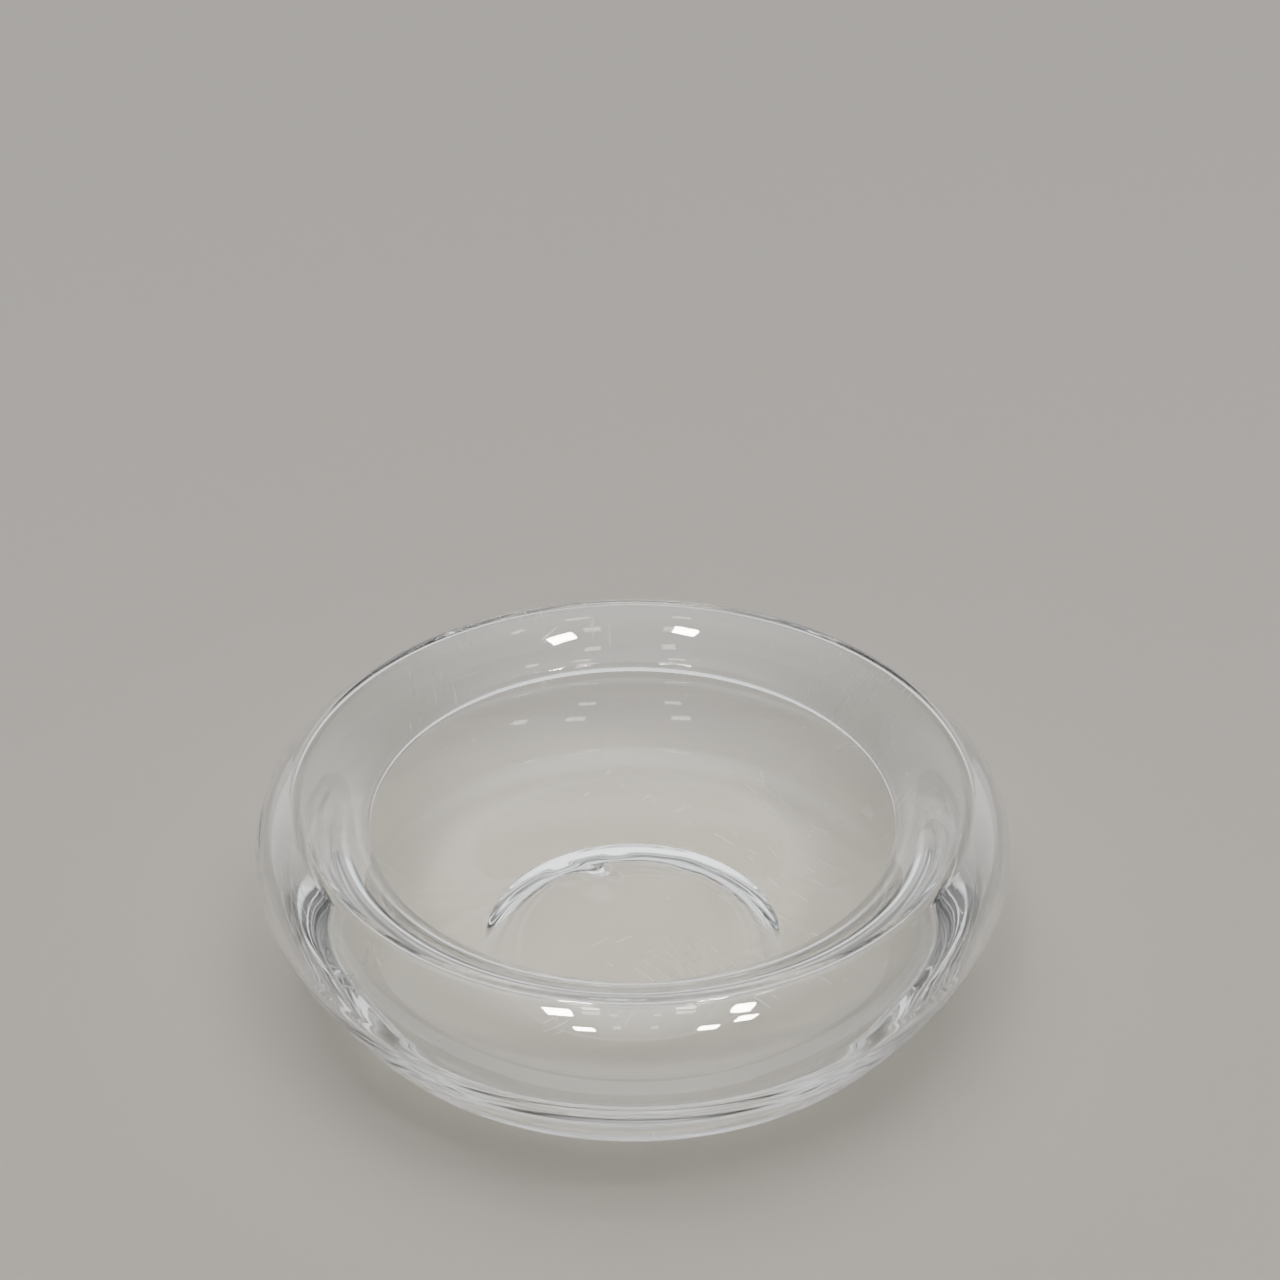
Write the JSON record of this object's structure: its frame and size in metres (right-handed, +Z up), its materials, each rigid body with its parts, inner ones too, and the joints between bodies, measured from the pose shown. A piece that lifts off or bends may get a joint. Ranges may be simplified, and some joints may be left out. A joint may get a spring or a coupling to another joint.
{
  "type": "floating candle bowl",
  "caption": "Round clear blown-glass bowl with a full belly, a rim folded in over a wide mouth and a hollowed base, for water and floating candles.",
  "frame": {"origin": "centre of the standing ring under the base, on the table plane", "axes": "+Z up along the bowl's axis; X and Y are alike because the bowl is round"},
  "size_m": [0.251, 0.251, 0.071],
  "materials": {
    "glass": "clear blown glass, fire-polished, with fine scratches and small seeds"
  },
  "bodies": {
    "root": {"glass_bowl": "glass"}
  },
  "joints": []
}
